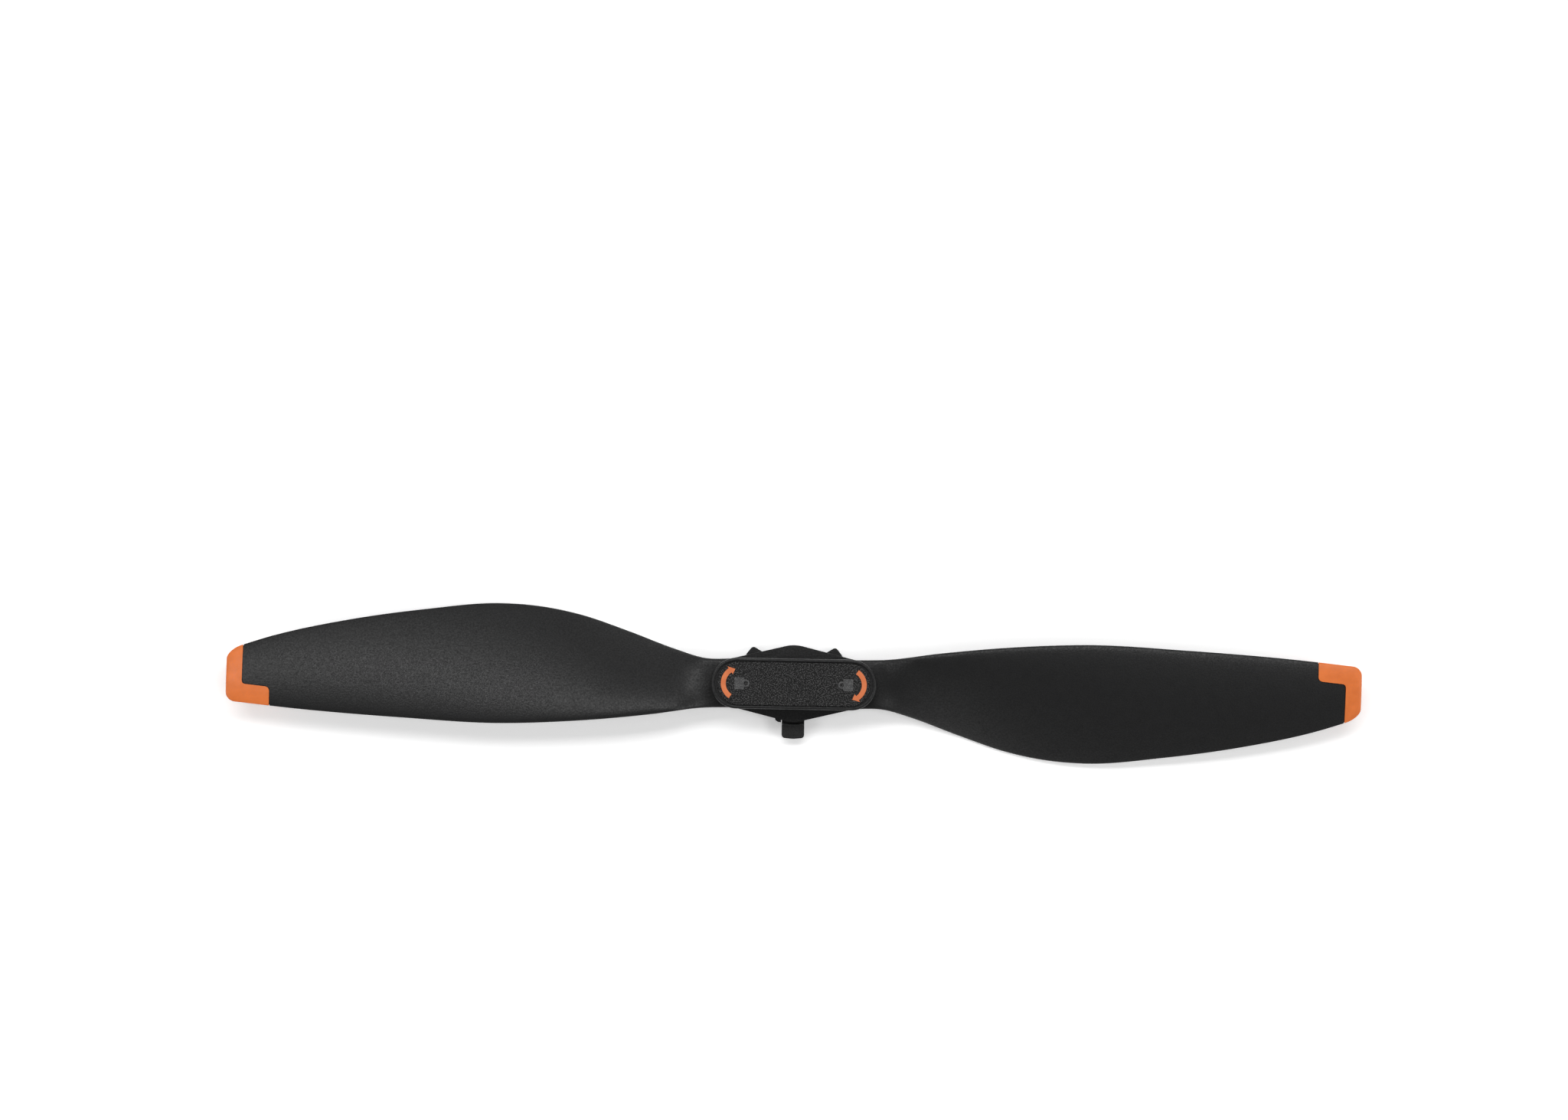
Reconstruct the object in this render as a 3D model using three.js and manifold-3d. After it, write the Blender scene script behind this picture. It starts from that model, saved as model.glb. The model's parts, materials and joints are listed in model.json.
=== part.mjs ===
// A folding two-blade propeller with a quick-release hub, of the kind a small camera drone carries.
// It spins counter-clockwise seen from above.
//
// Units are millimetres and +Z points up the spin axis, away from the motor. The origin is on the
// spin axis in the plane where the hub sits on the motor. +X runs along blade B, -X along blade A,
// and the release tab points along -Y. In a blade's own frame u is the distance from the spin axis
// along the blade, and v is the distance from the blade's axis towards its leading edge.

import * as THREE from "three";
import { mergeVertices } from "three/addons/utils/BufferGeometryUtils.js";
import Module from "manifold-3d";

// Overall sizes
const SPAN = 152.4;
const TIP_U = SPAN / 2;
const PITCH = SPAN / 2;
const PIVOT_X = 7.6;

// Levels of the hub's layers, from the motor seat up
const SEAT_Z = 0;
const RING_TOP_Z = 1.0;
const POCKET_TOP_Z = 1.7;
const STUB_TOP_Z = 1.9;
const BASE_TOP_Z = 2.6;
const COVER_BOTTOM_Z = 5.1;
const INLAY_FLOOR_Z = 6.4;
const COVER_TOP_Z = 6.9;

// Running gaps between moving faces, and the clearance of parts that only sit in each other
const FACE_GAP = 0.06;
const BORE_GAP = 0.05;
const SEATED_GAP = 0.02;

// Blade root
const EYE_RADIUS = 3.3;
const SLEEVE_RADIUS = 1.2;
const WASHER_THICKNESS = 0.16;
const WASHER_RADIUS = 2.5;
const EYE_BOTTOM_Z = BASE_TOP_Z + WASHER_THICKNESS + FACE_GAP;
const EYE_TOP_Z = COVER_BOTTOM_Z - WASHER_THICKNESS - FACE_GAP;
const EYE_MID_Z = (EYE_BOTTOM_Z + EYE_TOP_Z) / 2;
const EYE_THICKNESS = EYE_TOP_Z - EYE_BOTTOM_Z;

// Blade outline seen from above: [u, offset of the edge from the blade's axis]
const LEADING_EDGE = [
  [PIVOT_X, 3.3], [12.5, 3.46], [19, 4.38], [30, 5.5], [40, 5.95], [52, 5.46], [66, 4.56],
  [TIP_U, 3.58],
];
const TRAILING_EDGE = [
  [PIVOT_X, 3.3], [12, 3.28], [16, 4.38], [22, 6.53], [29, 8.8], [34, 9.76], [39.5, 10.12],
  [50, 9.12], [60, 7.56], [70, 5.27], [TIP_U, 3.25],
];

// Round corners of the tip: how far back along the blade each begins, and how deep it cuts
const LEADING_CORNER = [1.2, 1.2];
const TRAILING_CORNER = [2.0, 1.2];

// Blade section: greatest thickness along the blade, camber as a share of the chord, and the
// share of the thickness that the moulding keeps right up to both edges
const THICKNESS = [
  [PIVOT_X, EYE_THICKNESS], [14, EYE_THICKNESS], [24, 1.85], [40, 1.35], [60, 0.95], [TIP_U, 0.7],
];
const CAMBER_SHARE = 0.045;
const EDGE_SHARE = 0.3;
const SLAB_POWER = 8;
const TWIST_START_U = 10.9;
const TWIST_FULL_U = 16.5;
const HELIX_START_U = 23;
const AIRFOIL_START_U = 11.5;
const AIRFOIL_FULL_U = 21;
const CONE_ANGLE = THREE.MathUtils.degToRad(0.9);

// Blade mesh
const SECTION_POINTS = 24;
const NECK_STEP = 1.2;
const NECK_END_U = 19.6;
const STATION_STEP = 3.0;
const TIP_STATIONS = 6;

// Orange tip: a band across the end and an arm along the leading edge
const TIP_BAND = 2.15;
const TIP_ARM = 5.85;
const TIP_ARM_WIDTH = 2.53;
const TIP_ARM_CORNER = 0.65;
const TIP_BAND_CORNER = 0.5;
const TIP_SEAM = 0.1;

// Cover and inlay, both round-ended bars
const COVER_RADIUS = 3.4;
const COVER_CENTRE_X = 7.69;
const POCKET_RADIUS = 3.0;
const POCKET_CENTRE_X = 7.66;
const INLAY_RADIUS = 2.92;
const INLAY_CENTRE_X = 7.35;
const INLAY_TOP_Z = 6.78;

// Base plate, and the block on it that carries the cover between the blade roots
const BASE_RADIUS = 5.15;
const BASE_END_RADIUS = 3.35;
const BLOCK_HALF_X = 3.8;
const BLOCK_HALF_Y = 3.0;
const BLOCK_CORNER = 0.6;

// A small cheek beside the latch, as [x, y, corner radius] seen from above
const CHEEK_TOP_Z = 2.2;
const CHEEK = [
  [-2.45, -4.6, 0.1], [-2.4, -4.98, 0.15], [-2.05, -5.2, 0.15], [-1.62, -5.27, 0.05], [-1.62, -4.4, 0.05],
];

// Motor interface
const RING_RADIUS = 4.9;
const STUB_RADIUS = 3.25;
const NOTCH_RADIUS = 3.7;
const NOTCH_ANGLE = THREE.MathUtils.degToRad(34);
const NOTCH_COUNT = 3;
const LUG_ROOM_RADIUS = 3.8;
const LUG_ROOM_BOTTOM_Z = 0.5;
const BUSH_RADIUS = 1.6;
const BUSH_BORE = 0.8;

// The claw on the +X side, as [x, y, corner radius] seen from above. The other is its mirror image.
const CLAW = [
  [2.6, 3.6, 0.1], [4.2, 1.0, 0.2], [6.4, 2.3, 0.6], [6.5, 3.8, 0.2], [5.6, 4.96, 0.45], [4.4, 4.25, 0.3],
];

// Release latch, which slides inwards along +Y
const LATCH_TRAVEL = 0.3;
const LATCH_PLATE_RADIUS = 3.95;
const LATCH_STEM_END_Y = -6.6;
const STEM_SIDE_GAP = 0.1;
const STEP_RADIUS = 5.48;
const LIP_RADIUS = 5.62;
const LIP_SLOPE_LENGTH = 0.2;
const LIP_HEIGHT = 0.25;
const TAB_HALF = 1.52;
const TAB_END_Y = -7.48;
const TAB_SIDE_Y = -7.32;
const TAB_CORNER = 0.45;
const TAB_BOTTOM_Z = 0.35;
const TAB_TOP_Z = 2.05;
const LATCH_POCKET_RADIUS = 4.15;
const CATCH_NOSE = [[0.6, 3.55, 0], [-0.6, 3.55, 0], [-0.4, 2.9, 0.1], [0.4, 2.9, 0.1]];

// Fasteners
const SHANK_RADIUS = 0.75;
const HEAD_RADIUS = 1.35;
const HEAD_HEIGHT = 0.6;
const SOCKET_RADIUS = 0.5;
const SOCKET_DEPTH = 0.3;
const SHANK_TOP_Z = 6.0;
const SHANK_HOLE_TOP_Z = 6.1;
const RING_SCREW_X = 4.75;
const RING_SCREW_Y = 2.95;
const RING_SCREW_RADIUS = 0.45;
const RING_HEAD_RADIUS = 0.8;
const RING_HEAD_HEIGHT = 0.45;
const RING_SCREW_TOP_Z = 2.3;
const RING_HOLE_TOP_Z = 2.4;

// Leaf spring: a strip bowed between the pocket's wall and the latch plate
const SPRING_HALF_X = 2.4;
const SPRING_END_Y = 3.62;
const SPRING_MIDDLE_Y = 4.05;
const SPRING_THICKNESS = 0.12;

const CUT_MARGIN = 1;
const ROUND_SEGMENTS = 32;
const STEP_SEGMENTS = 64;
const SMALL_SEGMENTS = 16;
const ARC_SEGMENTS = 14;
const CORNER_SEGMENTS = 4;
const WELD_DISTANCE = 1e-4;

const wasm = await Module();
wasm.setup();

const materials = {
  blackPlastic: { color: 0x26272a, roughness: 0.55, metalness: 0 },
  grainedPlastic: { color: 0x2b2b2c, roughness: 0.85, metalness: 0 },
  orangePlastic: { color: 0xdb753a, roughness: 0.5, metalness: 0 },
  steel: { color: 0xb4b6b8, roughness: 0.3, metalness: 1 },
  brass: { color: 0xc2a35a, roughness: 0.35, metalness: 1 },
  washerPlastic: { color: 0xd8d8d2, roughness: 0.4, metalness: 0 },
};

// ---- Solids ----------------------------------------------------------------------------------

function toSolid(geometry) {
  const bare = geometry.clone();
  bare.deleteAttribute("normal");
  bare.deleteAttribute("uv");
  const merged = mergeVertices(bare, WELD_DISTANCE);
  return new wasm.Manifold(
    new wasm.Mesh({
      numProp: 3,
      vertProperties: new Float32Array(merged.attributes.position.array),
      triVerts: new Uint32Array(merged.index.array),
    }),
  );
}

function toGeometry(solid) {
  const mesh = solid.getMesh();
  const geometry = new THREE.BufferGeometry();
  geometry.setAttribute("position", new THREE.BufferAttribute(mesh.vertProperties, 3));
  geometry.setIndex(new THREE.BufferAttribute(mesh.triVerts, 1));
  geometry.computeVertexNormals();
  return geometry;
}

function joined(first, ...others) {
  return toGeometry(others.reduce((solid, other) => solid.add(toSolid(other)), toSolid(first)));
}

function without(first, ...tools) {
  return toGeometry(tools.reduce((solid, tool) => solid.subtract(toSolid(tool)), toSolid(first)));
}

function shared(first, second) {
  return toGeometry(toSolid(first).intersect(toSolid(second)));
}

// A flat outline raised from one level to another.
function slab(shape, bottom, top, curveSegments = ARC_SEGMENTS) {
  const depth = top - bottom;
  const geometry = new THREE.ExtrudeGeometry(shape, { depth, bevelEnabled: false, curveSegments });
  return geometry.translate(0, 0, bottom);
}

// An upright cylinder.
function post(radius, bottom, top, x = 0, y = 0, segments = ROUND_SEGMENTS) {
  const geometry = new THREE.CylinderGeometry(radius, radius, top - bottom, segments);
  geometry.rotateX(Math.PI / 2);
  return geometry.translate(x, y, (top + bottom) / 2);
}

// An upright tube with square ends, turned from its rectangular half section.
function tube(inner, outer, bottom, top, x = 0, segments = ROUND_SEGMENTS) {
  const profile = [
    new THREE.Vector2(inner, bottom),
    new THREE.Vector2(outer, bottom),
    new THREE.Vector2(outer, top),
    new THREE.Vector2(inner, top),
    new THREE.Vector2(inner, bottom),
  ];
  const geometry = new THREE.LatheGeometry(profile, segments);
  geometry.rotateX(Math.PI / 2);
  return geometry.translate(x, 0, 0);
}

// ---- Outlines --------------------------------------------------------------------------------

// A closed outline through [x, y, radius] corners, each corner eased over its radius.
function roundedOutline(corners) {
  const shape = new THREE.Shape();
  corners.forEach(([x, y, radius], index) => {
    const corner = new THREE.Vector2(x, y);
    const last = new THREE.Vector2(...corners.at(index - 1));
    const next = new THREE.Vector2(...corners[(index + 1) % corners.length]);
    const start = corner.clone().add(last.sub(corner).setLength(radius));
    const end = corner.clone().add(next.sub(corner).setLength(radius));
    if (index === 0) {
      shape.moveTo(start.x, start.y);
    } else {
      shape.lineTo(start.x, start.y);
    }
    if (radius > 0) {
      shape.quadraticCurveTo(x, y, end.x, end.y);
    }
  });
  shape.closePath();
  return shape;
}

// A bar with round ends, centred on the spin axis.
function roundEndedBar(centreX, radius) {
  const shape = new THREE.Shape();
  shape.absarc(centreX, 0, radius, -Math.PI / 2, Math.PI / 2);
  shape.absarc(-centreX, 0, radius, Math.PI / 2, 1.5 * Math.PI);
  shape.closePath();
  return shape;
}

// The base plate: a large circle and two smaller end circles, wrapped by straight tangents.
function baseOutline() {
  const lean = Math.asin((BASE_RADIUS - BASE_END_RADIUS) / PIVOT_X);
  const quarter = Math.PI / 2;
  const shape = new THREE.Shape();
  shape.absarc(PIVOT_X, 0, BASE_END_RADIUS, -quarter + lean, quarter - lean);
  shape.absarc(0, 0, BASE_RADIUS, quarter - lean, quarter + lean);
  shape.absarc(-PIVOT_X, 0, BASE_END_RADIUS, quarter + lean, 3 * quarter - lean);
  shape.absarc(0, 0, BASE_RADIUS, 3 * quarter - lean, 3 * quarter + lean);
  shape.closePath();
  return shape;
}

// ---- Blades ----------------------------------------------------------------------------------

// A smooth curve through [x, y] points: cubic pieces that share their slope at each point.
function smoothThrough(points, x) {
  const last = points.length - 1;
  const rise = (i) => (points[i + 1][1] - points[i][1]) / (points[i + 1][0] - points[i][0]);
  const slope = (i) => {
    if (i === 0) return rise(0);
    if (i === last) return rise(last - 1);
    const before = points[i][0] - points[i - 1][0];
    const after = points[i + 1][0] - points[i][0];
    return (rise(i - 1) * after + rise(i) * before) / (before + after);
  };
  const next = points.findIndex(([px], i) => i > 0 && (x <= px || i === last));
  const [x0, y0] = points[next - 1];
  const [x1, y1] = points[next];
  const width = x1 - x0;
  const t = (x - x0) / width;
  const leave = slope(next - 1) * width * t * (1 - t) ** 2;
  const arrive = slope(next) * width * t * t * (t - 1);
  return y0 * (1 + 2 * t) * (1 - t) ** 2 + y1 * t * t * (3 - 2 * t) + leave + arrive;
}

// How far a round corner of the tip pulls the edge in at u: a quarter of an ellipse.
function cornerInset(u, [length, depth]) {
  const along = Math.max(0, u - (TIP_U - length)) / length;
  return depth * (1 - Math.sqrt(Math.max(0, 1 - along * along)));
}

const leadingOffset = (u) => smoothThrough(LEADING_EDGE, u) - cornerInset(u, LEADING_CORNER);
const trailingOffset = (u) => smoothThrough(TRAILING_EDGE, u) - cornerInset(u, TRAILING_CORNER);

// Height of the chord line above the eye's middle, per unit of v. The twist is eased in from the
// flat root, holds steady over the first part of the blade, and follows a helix from there on.
function twistSlope(u) {
  const helix = PITCH / (2 * Math.PI * Math.max(u, HELIX_START_U));
  return helix * THREE.MathUtils.smoothstep(u, TWIST_START_U, TWIST_FULL_U);
}

// Half thickness of a rounded slab, as a share of its full half thickness. s runs 0 to 1.
function slabShare(s) {
  return (1 - Math.abs(2 * s - 1) ** SLAB_POWER) ** (1 / SLAB_POWER);
}

// The same for the four-digit airfoil family, whose formula gives the half thickness of a
// section a tenth as thick as its chord: hence the scale of 10 on a half-unit result.
function airfoilShare(s) {
  const half = 0.2969 * Math.sqrt(s) - 0.126 * s - 0.3516 * s ** 2 + 0.2843 * s ** 3 - 0.1036 * s ** 4;
  return 10 * Math.max(0, half);
}

// The closed section at u, as points in the blade's frame, from the leading edge over the top to
// the trailing edge and back underneath.
function bladeSection(u) {
  const lead = leadingOffset(u);
  const chord = lead + trailingOffset(u);
  const halfThickness = smoothThrough(THICKNESS, u) / 2;
  const airfoil = THREE.MathUtils.smoothstep(u, AIRFOIL_START_U, AIRFOIL_FULL_U);
  const axisZ = EYE_MID_Z + (u - PIVOT_X) * Math.tan(CONE_ANGLE);
  return Array.from({ length: SECTION_POINTS }, (_, i) => {
    const angle = (2 * Math.PI * i) / SECTION_POINTS;
    const s = (1 - Math.cos(angle)) / 2;
    const v = lead - s * chord;
    const thin = EDGE_SHARE * slabShare(s) + (1 - EDGE_SHARE) * airfoilShare(s);
    const share = THREE.MathUtils.lerp(slabShare(s), thin, airfoil);
    const camber = airfoil * CAMBER_SHARE * chord * 4 * s * (1 - s);
    const side = Math.sign(Math.round(Math.sin(angle) / WELD_DISTANCE));
    return new THREE.Vector3(u, v, axisZ + v * twistSlope(u) + camber + side * share * halfThickness);
  });
}

// Even steps of about the given size from the start up to, but not onto, the end.
function evenSteps(start, end, step) {
  const count = Math.round((end - start) / step);
  return Array.from({ length: count }, (_, i) => start + ((end - start) * i) / count);
}

// Distances from the spin axis of the blade's sections: close ones along the twisted neck, wider
// ones along the blade, and close ones again round the tip.
function bladeStations() {
  const roundLength = TRAILING_CORNER[0];
  const tipStart = TIP_U - roundLength;
  const neck = evenSteps(PIVOT_X, NECK_END_U, NECK_STEP);
  const even = evenSteps(NECK_END_U, tipStart, STATION_STEP);
  const round = Array.from({ length: TIP_STATIONS + 1 }, (_, i) => {
    return tipStart + roundLength * Math.sin((Math.PI / 2) * (i / TIP_STATIONS));
  });
  return [...neck, ...even, ...round];
}

// A closed skin over equal rings of points. Each end is closed rung by rung, from the top points
// to the matching bottom points.
function loft(rings) {
  const size = rings[0].length;
  const indices = [];
  const quad = (a, b, c, d) => indices.push(a, b, c, a, c, d);
  for (let ring = 0; ring < rings.length - 1; ring += 1) {
    for (let i = 0; i < size; i += 1) {
      const a = ring * size + i;
      const b = ring * size + ((i + 1) % size);
      quad(a, b, b + size, a + size);
    }
  }
  const end = (rings.length - 1) * size;
  for (let i = 1; i < size / 2 - 1; i += 1) {
    quad(i, size - i, size - i - 1, i + 1);
    quad(end + i, end + i + 1, end + size - i - 1, end + size - i);
  }
  const middle = size / 2;
  indices.push(0, size - 1, 1, end, end + 1, end + size - 1);
  indices.push(middle - 1, middle + 1, middle, end + middle - 1, end + middle, end + middle + 1);
  const geometry = new THREE.BufferGeometry().setFromPoints(rings.flat());
  geometry.setIndex(indices);
  return geometry;
}

// The space the orange tip takes, seen from above, pulled back from its seam by a given amount.
function tipRegion(seam) {
  const armU = TIP_U - TIP_ARM - seam;
  const bandU = TIP_U - TIP_BAND - seam;
  const far = 2 * LEADING_EDGE.at(-1)[1] + CUT_MARGIN;
  const end = TIP_U + CUT_MARGIN;
  const shape = roundedOutline([
    [end, far, 0],
    [armU, far, 0],
    [armU, leadingOffset(armU) - TIP_ARM_WIDTH - seam, TIP_ARM_CORNER],
    [bandU, leadingOffset(bandU) - TIP_ARM_WIDTH - seam, TIP_BAND_CORNER],
    [bandU, -far, 0],
    [end, -far, 0],
  ]);
  return slab(shape, SEAT_Z - CUT_MARGIN, COVER_TOP_Z + CUT_MARGIN, CORNER_SEGMENTS);
}

const bladeSkin = loft(bladeStations().map(bladeSection));

function bladeGeometry() {
  const eye = post(EYE_RADIUS, EYE_BOTTOM_Z, EYE_TOP_Z, PIVOT_X);
  const bore = post(SLEEVE_RADIUS + BORE_GAP, BASE_TOP_Z, COVER_BOTTOM_Z, PIVOT_X, 0);
  return without(joined(bladeSkin, eye), bore, tipRegion(TIP_SEAM));
}

function bladeTipGeometry() {
  return shared(bladeSkin, tipRegion(0));
}

// ---- Hub -------------------------------------------------------------------------------------

function coverGeometry() {
  const bar = slab(roundEndedBar(COVER_CENTRE_X, COVER_RADIUS), COVER_BOTTOM_Z, COVER_TOP_Z);
  const pocket = roundEndedBar(POCKET_CENTRE_X, POCKET_RADIUS);
  const screwHoles = [-PIVOT_X, PIVOT_X].map((x) => {
    const bottom = COVER_BOTTOM_Z - CUT_MARGIN;
    return post(SHANK_RADIUS + SEATED_GAP, bottom, SHANK_HOLE_TOP_Z, x, 0, SMALL_SEGMENTS);
  });
  return without(bar, slab(pocket, INLAY_FLOOR_Z, COVER_TOP_Z + CUT_MARGIN), ...screwHoles);
}

function inlayGeometry() {
  return slab(roundEndedBar(INLAY_CENTRE_X, INLAY_RADIUS), INLAY_FLOOR_Z, INLAY_TOP_Z);
}

// The space in the base's underside where the latch slides: its plate, its stem and the way out.
function latchPocket() {
  const half = TAB_HALF + STEM_SIDE_GAP;
  const stem = roundedOutline([
    [-half, 0, 0],
    [-half, -BASE_RADIUS - CUT_MARGIN, 0],
    [half, -BASE_RADIUS - CUT_MARGIN, 0],
    [half, 0, 0],
  ]);
  const bottom = RING_TOP_Z - CUT_MARGIN;
  return joined(
    post(LATCH_POCKET_RADIUS, bottom, POCKET_TOP_Z),
    post(LATCH_POCKET_RADIUS, bottom, POCKET_TOP_Z, 0, LATCH_TRAVEL + FACE_GAP),
    slab(stem, bottom, POCKET_TOP_Z),
  );
}

function baseGeometry() {
  const block = roundedOutline([
    [-BLOCK_HALF_X, -BLOCK_HALF_Y, BLOCK_CORNER],
    [BLOCK_HALF_X, -BLOCK_HALF_Y, BLOCK_CORNER],
    [BLOCK_HALF_X, BLOCK_HALF_Y, BLOCK_CORNER],
    [-BLOCK_HALF_X, BLOCK_HALF_Y, BLOCK_CORNER],
  ]);
  const below = RING_TOP_Z - CUT_MARGIN;
  const tools = [
    latchPocket(),
    post(STUB_RADIUS, below, STUB_TOP_Z),
    post(BUSH_RADIUS + SEATED_GAP, below, COVER_BOTTOM_Z + CUT_MARGIN),
  ];
  for (const x of [-PIVOT_X, PIVOT_X]) {
    const headTop = RING_TOP_Z + HEAD_HEIGHT + SEATED_GAP;
    tools.push(post(HEAD_RADIUS + BORE_GAP, below, headTop, x, 0, SMALL_SEGMENTS));
    tools.push(post(SHANK_RADIUS + SEATED_GAP, below, BASE_TOP_Z + CUT_MARGIN, x, 0, SMALL_SEGMENTS));
  }
  for (const x of [-RING_SCREW_X, RING_SCREW_X]) {
    const radius = RING_SCREW_RADIUS + SEATED_GAP;
    tools.push(post(radius, below, RING_HOLE_TOP_Z, x, RING_SCREW_Y, SMALL_SEGMENTS));
  }
  const body = joined(
    slab(baseOutline(), RING_TOP_Z, BASE_TOP_Z),
    slab(block, RING_TOP_Z, COVER_BOTTOM_Z),
    slab(roundedOutline(CHEEK), RING_TOP_Z, CHEEK_TOP_Z, CORNER_SEGMENTS),
  );
  return without(body, ...tools);
}

// One of the two pointed claws, on the side of the given sign.
function clawOutline(side) {
  const corners = CLAW.map(([x, y, radius]) => [side * x, y, radius]);
  return roundedOutline(side > 0 ? corners : corners.reverse());
}

// A notch in the edge of the ring's bore that lets one of the motor's bayonet lugs in.
function lugNotch(middleAngle) {
  const from = middleAngle - NOTCH_ANGLE / 2;
  const shape = new THREE.Shape();
  shape.moveTo(0, 0);
  shape.lineTo(NOTCH_RADIUS * Math.cos(from), NOTCH_RADIUS * Math.sin(from));
  shape.absarc(0, 0, NOTCH_RADIUS, from, from + NOTCH_ANGLE);
  shape.closePath();
  return slab(shape, SEAT_Z - CUT_MARGIN, LUG_ROOM_BOTTOM_Z + CUT_MARGIN, CORNER_SEGMENTS);
}

// The ring under the base: a notched bore below, and above it a wider room where the lugs turn.
function clawRingGeometry() {
  const body = joined(
    post(RING_RADIUS, SEAT_Z, RING_TOP_Z),
    slab(clawOutline(1), SEAT_Z, RING_TOP_Z, CORNER_SEGMENTS),
    slab(clawOutline(-1), SEAT_Z, RING_TOP_Z, CORNER_SEGMENTS),
  );
  const below = SEAT_Z - CUT_MARGIN;
  const above = RING_TOP_Z + CUT_MARGIN;
  const tools = [
    post(STUB_RADIUS, below, above),
    post(LUG_ROOM_RADIUS, LUG_ROOM_BOTTOM_Z, above),
  ];
  for (let i = 0; i < NOTCH_COUNT; i += 1) {
    tools.push(lugNotch(Math.PI / 6 + (i * 2 * Math.PI) / NOTCH_COUNT));
  }
  for (const x of [-RING_SCREW_X, RING_SCREW_X]) {
    const headTop = SEAT_Z + RING_HEAD_HEIGHT + SEATED_GAP;
    tools.push(post(RING_HEAD_RADIUS + BORE_GAP, below, headTop, x, RING_SCREW_Y, SMALL_SEGMENTS));
    tools.push(post(RING_SCREW_RADIUS + SEATED_GAP, below, above, x, RING_SCREW_Y, SMALL_SEGMENTS));
  }
  return without(body, ...tools);
}

// A headed screw pointing up, with a hexagonal socket in its head.
function screwGeometry(shankRadius, headRadius, headHeight, bottom, top) {
  const profile = [
    new THREE.Vector2(0, bottom),
    new THREE.Vector2(headRadius, bottom),
    new THREE.Vector2(headRadius, bottom + headHeight),
    new THREE.Vector2(shankRadius, bottom + headHeight),
    new THREE.Vector2(shankRadius, top),
    new THREE.Vector2(0, top),
  ];
  const turned = new THREE.LatheGeometry(profile, SMALL_SEGMENTS);
  turned.rotateX(Math.PI / 2);
  const depth = Math.min(SOCKET_DEPTH, headHeight / 2);
  const socket = post(SOCKET_RADIUS, bottom - CUT_MARGIN, bottom + depth, 0, 0, 6);
  return without(turned, socket);
}

// The latch: a plate round the motor's stub with a catch on its far inner side, a stem, and the
// tab outside, whose inner step meets the base's edge when the tab is pressed home. The step ends
// in a raised lip, which slopes down outwards to the flat of the tab.
function latchGeometry() {
  const bottom = RING_TOP_Z + FACE_GAP;
  const top = POCKET_TOP_Z - FACE_GAP;
  const stem = roundedOutline([
    [-TAB_HALF, -STUB_RADIUS, 0],
    [-TAB_HALF, LATCH_STEM_END_Y, 0],
    [TAB_HALF, LATCH_STEM_END_Y, 0],
    [TAB_HALF, -STUB_RADIUS, 0],
  ]);
  const tab = roundedOutline([
    [-TAB_HALF, -BASE_RADIUS, 0],
    [-TAB_HALF, TAB_SIDE_Y, TAB_CORNER],
    [0, TAB_END_Y, TAB_CORNER],
    [TAB_HALF, TAB_SIDE_Y, TAB_CORNER],
    [TAB_HALF, -BASE_RADIUS, 0],
  ]);
  const coneRadius = LIP_RADIUS + 2 * LIP_SLOPE_LENGTH;
  const lipCone = new THREE.CylinderGeometry(LIP_RADIUS, coneRadius, 2 * LIP_HEIGHT, STEP_SEGMENTS);
  lipCone.rotateX(Math.PI / 2).translate(0, 0, TAB_TOP_Z);
  const flat = slab(tab, TAB_BOTTOM_Z, TAB_TOP_Z, CORNER_SEGMENTS);
  const lip = shared(slab(tab, TAB_BOTTOM_Z, BASE_TOP_Z, CORNER_SEGMENTS), lipCone);
  const insideStep = post(STEP_RADIUS, SEAT_Z, BASE_TOP_Z, 0, 0, STEP_SEGMENTS);
  const plate = joined(
    tube(STUB_RADIUS + BORE_GAP, LATCH_PLATE_RADIUS, bottom, top),
    slab(stem, bottom, top),
    slab(roundedOutline(CATCH_NOSE), bottom, top, CORNER_SEGMENTS),
  );
  return joined(plate, without(joined(flat, lip), insideStep));
}

// A steel strip on edge, bowed from the pocket's wall at its ends to the latch in its middle.
function springGeometry() {
  const sag = SPRING_MIDDLE_Y - SPRING_END_Y;
  const radius = (SPRING_HALF_X ** 2 + sag ** 2) / (2 * sag);
  const centreY = SPRING_MIDDLE_Y - radius;
  const half = Math.asin(SPRING_HALF_X / radius);
  const inner = radius - SPRING_THICKNESS / 2;
  const outer = radius + SPRING_THICKNESS / 2;
  const shape = new THREE.Shape();
  shape.absarc(0, centreY, outer, Math.PI / 2 - half, Math.PI / 2 + half);
  shape.absarc(0, centreY, inner, Math.PI / 2 + half, Math.PI / 2 - half, true);
  shape.closePath();
  return slab(shape, RING_TOP_Z + FACE_GAP, POCKET_TOP_Z - FACE_GAP);
}

// ---- Assembly --------------------------------------------------------------------------------

const propeller = new THREE.Group();

function addPart(name, geometry, materialName, parent = propeller) {
  const mesh = new THREE.Mesh(geometry, new THREE.MeshStandardMaterial(materials[materialName]));
  mesh.name = name;
  parent.add(mesh);
  return mesh;
}

function addHub() {
  addPart("hub_cover", coverGeometry(), "blackPlastic");
  addPart("grip_inlay", inlayGeometry(), "grainedPlastic");
  addPart("hub_base", baseGeometry(), "blackPlastic");
  addPart("claw_ring", clawRingGeometry(), "blackPlastic");
  const bushTop = COVER_BOTTOM_Z - FACE_GAP;
  addPart("spindle_bush", tube(BUSH_BORE, BUSH_RADIUS, STUB_TOP_Z, bushTop), "brass");
  addPart("release_latch", latchGeometry(), "blackPlastic");
  addPart("latch_spring", springGeometry(), "steel");
  for (const [letter, side] of [["a", -1], ["b", 1]]) {
    const bottom = SEAT_Z + SEATED_GAP;
    const top = RING_SCREW_TOP_Z;
    const screw = screwGeometry(RING_SCREW_RADIUS, RING_HEAD_RADIUS, RING_HEAD_HEIGHT, bottom, top);
    addPart(`ring_screw_${letter}`, screw, "steel").position.set(side * RING_SCREW_X, RING_SCREW_Y, 0);
  }
}

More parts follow.
